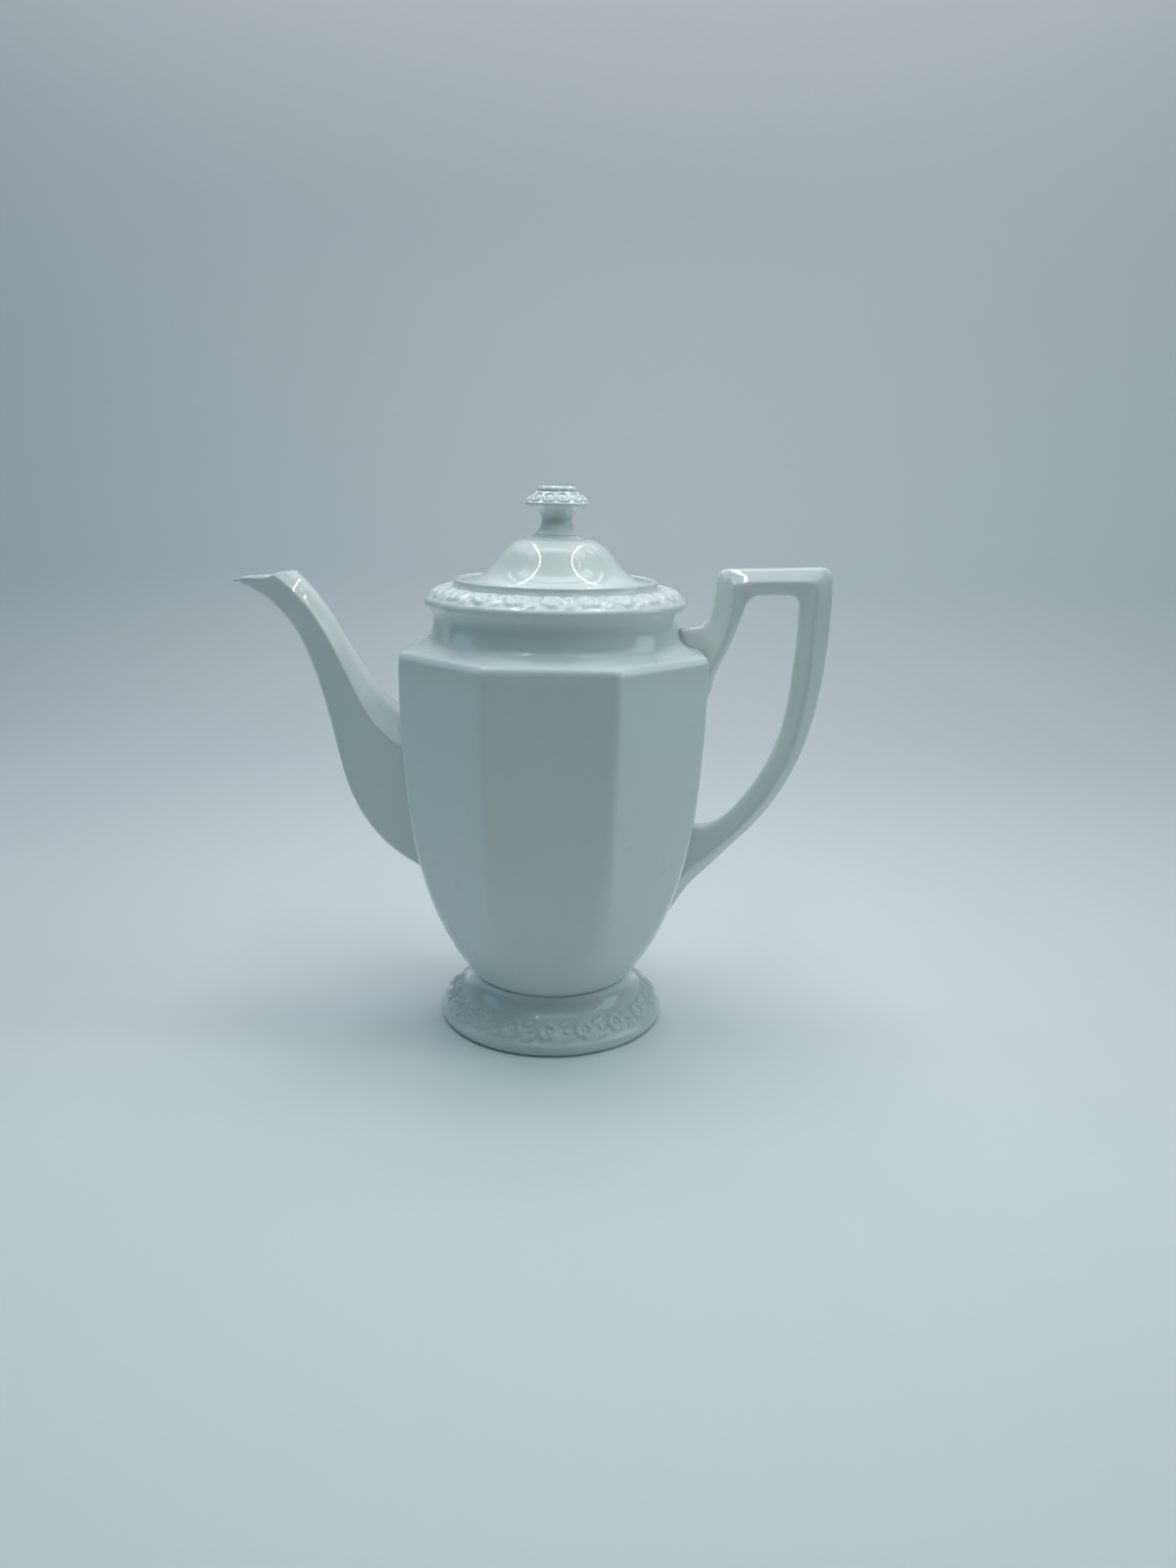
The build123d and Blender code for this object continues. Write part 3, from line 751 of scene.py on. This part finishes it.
# --- spout and handle ------------------------------------------------------------------------------
def hexagon_loops(stations, ridge, low_flat, high_flat, rounds):
    """Loops of points round hexagons with rounded corners, one loop for each station."""
    low = stations[:, 0:2]
    rise = stations[:, 2:4] - low
    height = np.linalg.norm(rise, axis=1)
    along = rise / height[:, None]
    width = stations[:, 4]
    zero = np.zeros_like(height)
    corners = np.stack([
        np.stack([zero, -low_flat * width], 1),
        np.stack([ridge * height, -width], 1),
        np.stack([height, -high_flat * width], 1),
        np.stack([height, high_flat * width], 1),
        np.stack([ridge * height, width], 1),
        np.stack([zero, low_flat * width], 1),
    ], 1)
    loops = []
    bends, edges = [], []
    for i in range(6):
        corner = corners[:, i]
        back = corners[:, i - 1] - corner
        ahead = corners[:, (i + 1) % 6] - corner
        back_length = np.linalg.norm(back, axis=1)
        ahead_length = np.linalg.norm(ahead, axis=1)
        reach = np.minimum(rounds[i], HEXAGON_SHARE * np.minimum(back_length, ahead_length))
        start = corner + back * (reach / back_length)[:, None]
        end = corner + ahead * (reach / ahead_length)[:, None]
        bends.append([(1 - t) ** 2 * start + 2 * t * (1 - t) * corner + t * t * end
                      for t in np.linspace(0, 1, EDGE_LINES)])
        edges.append((start, end))
    for i in range(6):
        loops += bends[i]
        start, end = edges[i][1], edges[(i + 1) % 6][0]
        loops += [start + (end - start) * t for t in FLAT_SHARES]
    flat = np.stack(loops, 1)
    x = low[:, None, 0] + along[:, None, 0] * flat[:, :, 0]
    z = low[:, None, 1] + along[:, None, 1] * flat[:, :, 0]
    return np.stack([x, flat[:, :, 1], z], 2)


def outside_distance(points):
    """How far points are outside the body, measured level; negative inside."""
    angles = np.arctan2(points[..., 1], points[..., 0])
    return np.hypot(points[..., 0], points[..., 1]) - body_radius(angles, points[..., 2])


def crossing(values, last=False):
    """Where each column of values first (or last) passes from negative to positive."""
    found = []
    for column in values.T:
        changes = np.nonzero((column[:-1] < 0) & (column[1:] >= 0))[0]
        i = changes[-1] if last else changes[0]
        found.append(i + column[i] / (column[i] - column[i + 1]))
    return np.array(found)


def resampled(loops, start, end, shares):
    """New loops whose points run, line by line, from start to end along the old loops."""
    count, lines = loops.shape[:2]
    made = []
    for share in shares:
        place = start + (end - start) * share
        i = np.clip(place.astype(int), 0, count - 2)
        t = (place - i)[:, None]
        line = np.arange(lines)
        made.append(loops[i, line] * (1 - t) + loops[i + 1, line] * t)
    return np.array(made)


def outward(loops):
    """Directions from the middle of each loop to its points."""
    away = loops - loops.mean(1, keepdims=True)
    return away / np.linalg.norm(away, axis=2, keepdims=True)


def seated(loops):
    """Shapes the end that meets the body: a small fillet of slip, undercut at the seam."""
    gap = np.clip(outside_distance(loops), 0, None)
    near = np.clip(1 - gap / SLIP_FILLET, 0, 1)
    fillet = FILLET_WIDTH * SLIP_FILLET * (1 - np.sqrt(1 - near ** 2))
    undercut = SEAM_GROOVE * (1 - smooth_step(gap / (GROOVE_LENGTH * SEAM_GROOVE)))
    return loops + outward(loops) * (fillet - undercut)[:, :, None]


def level_seam_shade(rows):
    """Painted shade: how much darker the colour is made near the level seam of body and foot."""
    away = [(row[:, 2] - SEAM_HEIGHT) / SEAM_SHADE_REACH for row in rows]
    return [SEAM_SHADE * LEVEL_SEAM_SHADE_SHARE * np.exp(-gap ** 2) for gap in away]


def seam_shade(loops):
    """Painted shade: how much darker the colour is made along the seam with the body."""
    return SEAM_SHADE * np.exp(-(np.clip(outside_distance(loops), 0, None) / SEAM_SHADE_REACH) ** 2)


def spout_collar(loops):
    """How far the collar at the root, and the hollow after it, move the upper faces outward."""
    line = np.arange(loops.shape[1])
    first = LINES_PER_CORNER + EDGE_LINES
    last = 4 * LINES_PER_CORNER
    fade = len(FLAT_SHARES)
    upper_faces = smooth_step((line - first) / fade) * smooth_step((last - line) / fade)
    gap = np.clip(outside_distance(loops), 0, None)
    step = np.clip((SPOUT_COLLAR_REACH - gap) / SPOUT_COLLAR_STEP, 0, 1)
    pocket = np.exp(-np.clip(gap - SPOUT_COLLAR_REACH, 0, None) / SPOUT_POCKET_REACH)
    return (SPOUT_COLLAR_HEIGHT * step - SPOUT_POCKET_DEPTH * (1 - step) * pocket) * upper_faces


def make_spout():
    """The hollow six-sided spout, open at its mouth and at its root."""
    dense = spline(SPOUT_STATIONS, SPOUT_SPAN_ROWS, 4)
    share = np.linspace(0, 1, len(dense))
    wall = SPOUT_ROOT_WALL + (SPOUT_LIP_WALL - SPOUT_ROOT_WALL) * share
    rise = dense[:, 2:4] - dense[:, 0:2]
    inward = rise / np.linalg.norm(rise, axis=1)[:, None] * wall[:, None]
    channel = dense.copy()
    channel[:, 0:2] += inward
    channel[:, 2:4] -= inward
    channel[:, 4] -= wall * CHANNEL_SIDE_SHARE
    lip = SPOUT_LIP_WALL * SPOUT_LIP_ROUND
    root_share, root_loops = SPOUT_LOOPS
    shares = np.concatenate([
        np.linspace(0, root_share, root_loops),
        np.linspace(root_share, 1, root_loops)[1:],
    ])
    tubes = []
    for stations, rounds in ((dense, SPOUT_ROUNDS), (channel, CHANNEL_ROUNDS)):
        loops = hexagon_loops(stations, dense[:, 5], SPOUT_LOW_FLAT, SPOUT_HIGH_FLAT, rounds)
        start = crossing(outside_distance(loops) + SEATED_DEPTH, last=True)
        end = crossing(above_mouth(loops) + lip)
        tubes.append(resampled(loops, start, end, shares))
    outer, inner = tubes
    outer = seated(outer + outward(outer) * spout_collar(outer)[:, :, None])
    up = np.array([0, 0, 1])
    middle = (outer[-1] + inner[-1]) / 2
    half = (outer[-1] - inner[-1]) / 2
    lip_rows = [middle + half * math.cos(a) + up * lip * math.sin(a)
                for a in np.linspace(0, math.pi, LIP_ROWS)[1:-1]]
    inside = lip_rows + list(inner[::-1])
    # Painted shade along the seam with the body; none inside
    pool_and_shade = list(seam_shade(outer)) + zeros(inside)
    return skin("pot_spout", list(outer) + inside, pool_and_shade, closed=True)


def above_mouth(points):
    """How far points are above the mouth, which rises from the tip and humps up at its back."""
    share = np.clip((points[..., 0] - SPOUT_TIP[0]) / MOUTH_LENGTH, *MOUTH_SHARES)
    beak = BEAK_RISE * (1 - np.clip(1 - share / BEAK_SHARE, 0, BEAK_LIMIT) ** 2)
    hump = HUMP_RISE * smooth_step((share - HUMP_START) / (1 - HUMP_START))
    return points[..., 2] - SPOUT_TIP[1] - (beak + hump)


def soften_corner(dense, corner, outer_reach, inner_reach):
    """Rounds the mitred corner of the two rails at station number corner."""
    made = dense.copy()
    for columns, reach in ((slice(0, 2), outer_reach), (slice(2, 4), inner_reach)):
        rail = dense[:, columns]
        lengths = np.concatenate([[0], np.cumsum(np.linalg.norm(np.diff(rail, axis=0), axis=1))])
        place = lengths - lengths[corner]
        start = np.array([np.interp(lengths[corner] - reach, lengths, rail[:, k]) for k in (0, 1)])
        end = np.array([np.interp(lengths[corner] + reach, lengths, rail[:, k]) for k in (0, 1)])
        near = np.abs(place) < reach
        t = ((place[near] + reach) / (2 * reach))[:, None]
        made[near, columns] = (1 - t) ** 2 * start + 2 * t * (1 - t) * rail[corner] + t * t * end
    return made


def make_handle():
    """The squared loop handle: a post, a level bar and a long curved grip."""
    post = spline(POST_STATIONS, HANDLE_SPAN_ROWS, 4)
    grip = spline(GRIP_STATIONS, HANDLE_SPAN_ROWS, 4)
    steps = np.linspace(0, 1, HANDLE_BAR_ROWS)[1:-1, None]
    bar = post[-1] + (grip[0] - post[-1]) * steps
    dense = np.vstack([post, bar, grip])
    dense = soften_corner(dense, len(post) - 1, *POST_CORNER)
    dense = soften_corner(dense, len(post) + len(bar), *GRIP_CORNER)
    loops = hexagon_loops(dense, dense[:, 5], HANDLE_OUTER_FLAT, HANDLE_INNER_FLAT, HANDLE_ROUNDS)
    distance = outside_distance(loops) + SEATED_DEPTH
    start = crossing(distance[:len(post)], last=True)
    end = len(dense) - 1 - crossing(distance[:-len(grip):-1], last=True)
    end_share, end_loops = HANDLE_END_LOOPS
    ends = np.linspace(0, end_share, end_loops)
    between = np.linspace(end_share, 1 - end_share, HANDLE_MIDDLE_LOOPS)[1:-1]
    tube = seated(resampled(loops, start, end, np.concatenate([ends, between, 1 - ends[::-1]])))
    # Painted shade along both seams with the body
    return capped("pot_handle", list(tube), seam_shade(tube))


# --- materials -------------------------------------------------------------------------------------
POOL_AND_SHADE_SHARE = 0.065                 # how dark a hollow of the relief is painted: a tint of pooled glaze with painted shade
# The darker colour mixed in there: a glaze tint with painted shade
POOLED_GLAZE_AND_SHADE = (0.40, 0.46, 0.47, 1)
GLAZE_TINTS = ((0.0, (0.735, 0.780, 0.784)), (1.0, (0.739, 0.783, 0.787)))
PIN_MARKS = ((0.010, (0.30, 0.30, 0.28)), (0.018, (1, 1, 1)))
PIN_STRENGTH = 0.8
GLAZE_ROUGHNESS = (0.26, 0.30)
CLAY_TINTS = ((0.0, (0.52, 0.51, 0.48)), (1.0, (0.74, 0.73, 0.70)))
CLAY_ROUGHNESS = (0.65, 0.9)


def node(tree, kind, **inputs):
    made = tree.nodes.new(kind)
    for name, value in inputs.items():
        made.inputs[name].default_value = value
    return made


def texture(tree, where, kind, **inputs):
    """A texture node that works in the piece's own coordinates."""
    made = node(tree, kind, **inputs)
    tree.links.new(where.outputs["Object"], made.inputs["Vector"])
    return made


def ramp(tree, source, stops):
    """The colour for a node's output, between two stops of position and colour."""
    made = tree.nodes.new("ShaderNodeValToRGB")
    for element, (position, colour) in zip(made.color_ramp.elements, stops):
        element.position = position
        element.color = (*colour, 1)
    tree.links.new(source, made.inputs["Fac"])
    return made.outputs["Color"]


def spread(tree, source, limits):
    """A node's output, from 0 to 1, spread between two limits."""
    made = node(tree, "ShaderNodeMapRange", **{"To Min": limits[0], "To Max": limits[1]})
    tree.links.new(source, made.inputs["Value"])
    return made.outputs["Result"]


def make_porcelain():
    """White porcelain under a clear glaze. Its colour is darkened in the relief's hollows by pooled
    glaze with painted shade, and along the seams by painted shade.
    """
    material = bpy.data.materials.new("glazed_porcelain")
    material.use_nodes = True
    tree = material.node_tree
    links = tree.links
    shader = tree.nodes["Principled BSDF"]
    shader.inputs["Coat Weight"].default_value = 1.0
    shader.inputs["Coat Roughness"].default_value = 0.02
    shader.inputs["Coat IOR"].default_value = 1.5
    shader.inputs["Specular IOR Level"].default_value = 0.08
    where = tree.nodes.new("ShaderNodeTexCoord")

    cloud = texture(tree, where, "ShaderNodeTexNoise", Scale=14.0, Detail=1.0)
    # The hollow attribute darkens the colour: pooled glaze with painted shade in the relief, painted
    # shade at the seams
    hollow = tree.nodes.new("ShaderNodeAttribute")
    hollow.attribute_name = "hollow"
    pool_and_shade_amount = tree.nodes.new("ShaderNodeMath")
    pool_and_shade_amount.operation = "MULTIPLY"
    pool_and_shade_amount.inputs[1].default_value = POOL_AND_SHADE_SHARE
    pool_and_shade_amount.use_clamp = True
    links.new(hollow.outputs["Fac"], pool_and_shade_amount.inputs[0])
    pooled_and_shaded = tree.nodes.new("ShaderNodeMix")
    pooled_and_shaded.data_type = "RGBA"
    pooled_and_shaded.inputs["B"].default_value = POOLED_GLAZE_AND_SHADE
    links.new(pool_and_shade_amount.outputs[0], pooled_and_shaded.inputs["Factor"])
    links.new(ramp(tree, cloud.outputs["Fac"], GLAZE_TINTS), pooled_and_shaded.inputs["A"])

    speck = texture(tree, where, "ShaderNodeTexVoronoi", Scale=46.0)
    spotted = tree.nodes.new("ShaderNodeMix")
    spotted.data_type = "RGBA"
    spotted.blend_type = "MULTIPLY"
    spotted.inputs["Factor"].default_value = PIN_STRENGTH
    links.new(pooled_and_shaded.outputs["Result"], spotted.inputs["A"])
    links.new(ramp(tree, speck.outputs["Distance"], PIN_MARKS), spotted.inputs["B"])
    links.new(spotted.outputs["Result"], shader.inputs["Base Color"])

    sheen = texture(tree, where, "ShaderNodeTexNoise", Scale=60.0, Detail=2.0)
    links.new(spread(tree, sheen.outputs["Fac"], GLAZE_ROUGHNESS), shader.inputs["Roughness"])

    waves = texture(tree, where, "ShaderNodeTexNoise", Scale=36.0, Detail=0.0)
    bump = node(tree, "ShaderNodeBump", Strength=0.35, Distance=0.00018)
    links.new(waves.outputs["Fac"], bump.inputs["Height"])
    links.new(bump.outputs["Normal"], shader.inputs["Normal"])
    links.new(bump.outputs["Normal"], shader.inputs["Coat Normal"])
    return material


def make_biscuit():
    """The bare, ground clay of the contact ring."""
    material = bpy.data.materials.new("bare_contact_ring")
    material.use_nodes = True
    tree = material.node_tree
    shader = tree.nodes["Principled BSDF"]
    where = tree.nodes.new("ShaderNodeTexCoord")
    grain = texture(tree, where, "ShaderNodeTexNoise", Scale=900.0, Detail=4.0).outputs["Fac"]
    tree.links.new(ramp(tree, grain, CLAY_TINTS), shader.inputs["Base Color"])
    tree.links.new(spread(tree, grain, CLAY_ROUGHNESS), shader.inputs["Roughness"])
    bump = node(tree, "ShaderNodeBump", Strength=0.4, Distance=0.0001)
    tree.links.new(grain, bump.inputs["Height"])
    tree.links.new(bump.outputs["Normal"], shader.inputs["Normal"])
    return material


# --- stage -----------------------------------------------------------------------------------------
# The sweep, the lamps and the camera are in metres
SWEEP_HALF_WIDTH = 2.5
SWEEP_FLOOR = (-1.6, -1.0, 0.2)
SWEEP_BACK = 0.48                  # where the floor starts to curve up
SWEEP_BEND = 0.14
SWEEP_BEND_ROWS = 25
SWEEP_WALL = (0.8, 1.6)
SWEEP_COLOUR = (0.87, 0.895, 0.915, 1)
SKY_COLOUR = (0.52, 0.74, 0.80, 1)
SKY_STRENGTH = 0.02
POT_MIDDLE = (0, 0, 0.12)

# Lamps: name, place, the point they face, width and length, watts, colour. The two strips over the
# pot give the glints on the dome.
LAMPS = (
    ("strip_left", (-0.09, -0.05, 0.42), (-0.09, -0.05, 0), (0.005, 0.40), 0.18, (1.0, 0.91, 0.88)),
    ("strip_right", (0.09, -0.05, 0.42), (0.09, -0.05, 0), (0.005, 0.40), 0.18, (1.0, 0.91, 0.88)),
    ("ceiling", (0.0, 0.02, 0.46), (0.0, 0.02, 0), (0.5, 0.28), 0.16, (0.78, 1.0, 1.0)),
    ("ceiling_front", (0.0, -0.24, 0.46), (0.0, -0.24, 0), (0.5, 0.2), 0.31, (0.55, 0.97, 1.0)),
    ("ceiling_back", (0.0, 0.30, 0.46), (0.0, 0.30, 0), (0.5, 0.2), 0.12, (0.75, 1.0, 0.95)),
    ("high", (0.0, 0.10, 1.25), (0.0, 0.10, 0), (1.4, 0.3), 3.2, (0.93, 0.97, 1.0)),
    ("side_right", (0.9, 0.0, 0.5), POT_MIDDLE, (0.4, 0.6), 1.35, (0.68, 1.0, 1.0)),
    ("side_left", (-0.9, 0.0, 0.5), POT_MIDDLE, (0.4, 0.6), 0.78, (0.35, 0.85, 1.0)),
    ("rod_right", (0.40, -0.12, 0.60), (-0.1, 0.0, 0.15), (0.006, 0.55), 0.25, (1.0, 1.0, 1.0)),
    ("wall_wash", (0.0, 0.40, 1.0), (0.0, 0.62, 0.55), (1.4, 0.1), 1.5, (1.0, 0.90, 1.0)),
)

CAMERA_PLACE = (0.0144, -0.4807, 0.2287)
CAMERA_TILT = 75.3                 # degrees up from straight down
CAMERA_ROLL = 1.1
CAMERA_LENS = 27.05                # millimetres, as the sensor
CAMERA_SENSOR = 36.0


def make_stage():
    """A pale sweep: a floor that curves up into a plain backdrop."""
    path = [(y, 0.0) for y in SWEEP_FLOOR]
    for turn in np.linspace(0, math.pi / 2, SWEEP_BEND_ROWS):
        rise = SWEEP_BEND - SWEEP_BEND * math.cos(turn)
        path.append((SWEEP_BACK + SWEEP_BEND * math.sin(turn), rise))
    path += [(SWEEP_BACK + SWEEP_BEND, z) for z in SWEEP_WALL]
    verts = [(x, y, z) for y, z in path for x in (-SWEEP_HALF_WIDTH, SWEEP_HALF_WIDTH)]
    faces = [(2 * i, 2 * i + 1, 2 * i + 3, 2 * i + 2) for i in range(len(path) - 1)]
    mesh = bpy.data.meshes.new("sweep")
    mesh.from_pydata(verts, [], faces)
    mesh.shade_smooth()
    sweep = bpy.data.objects.new("sweep", mesh)
    bpy.context.scene.collection.objects.link(sweep)
    material = bpy.data.materials.new("sweep_paper")
    material.use_nodes = True
    shader = material.node_tree.nodes["Principled BSDF"]
    shader.inputs["Base Color"].default_value = SWEEP_COLOUR
    shader.inputs["Roughness"].default_value = 0.6
    shader.inputs["Specular IOR Level"].default_value = 0.25
    mesh.materials.append(material)


def area_light(name, place, target, size, watts, colour):
    data = bpy.data.lights.new(name, "AREA")
    data.shape = "RECTANGLE"
    data.size, data.size_y = size
    data.energy = watts
    data.color = colour
    lamp = bpy.data.objects.new(name, data)
    bpy.context.scene.collection.objects.link(lamp)
    lamp.location = place
    lamp.rotation_euler = (Vector(target) - Vector(place)).to_track_quat("-Z", "Y").to_euler()
    lamp.visible_camera = False


def make_lights():
    world = bpy.data.worlds.new("studio")
    world.use_nodes = True
    sky = world.node_tree.nodes["Background"]
    sky.inputs["Color"].default_value = SKY_COLOUR
    sky.inputs["Strength"].default_value = SKY_STRENGTH
    bpy.context.scene.world = world
    for lamp in LAMPS:
        area_light(*lamp)


def make_camera():
    data = bpy.data.cameras.new("camera")
    data.lens = CAMERA_LENS
    data.sensor_width = CAMERA_SENSOR
    camera = bpy.data.objects.new("camera", data)
    bpy.context.scene.collection.objects.link(camera)
    tilt = Matrix.Rotation(math.radians(CAMERA_TILT), 4, "X")
    roll = Matrix.Rotation(math.radians(CAMERA_ROLL), 4, "Z")
    camera.matrix_world = Matrix.Translation(CAMERA_PLACE) @ tilt @ roll
    bpy.context.scene.camera = camera


# --- assembly --------------------------------------------------------------------------------------
make_camera()
make_lights()
make_stage()
bpy.context.scene.view_settings.view_transform = "Standard"

porcelain = make_porcelain()
biscuit = make_biscuit()
PIECES = (
    (make_body, "pot", "body"),
    (make_foot, "pot", "foot"),
    (make_spout, "pot", "spout"),
    (make_handle, "pot", "handle"),
    (make_lid, "lid", "lid"),
    (make_knob, "lid", "knob"),
)
for make, moves_with, stands_for in PIECES:
    piece = make()
    piece.data.materials.clear()
    piece.data.materials.append(porcelain)
    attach(piece, moves_with)
    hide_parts(stands_for)
    print(piece.name, "triangles", sum(len(p.vertices) - 2 for p in piece.data.polygons))

foot = bpy.data.objects["pot_foot"]
foot.data.materials.append(biscuit)
for face in foot.data.polygons:
    if face.center.z < CONTACT_HEIGHT * MM:
        face.material_index = 1
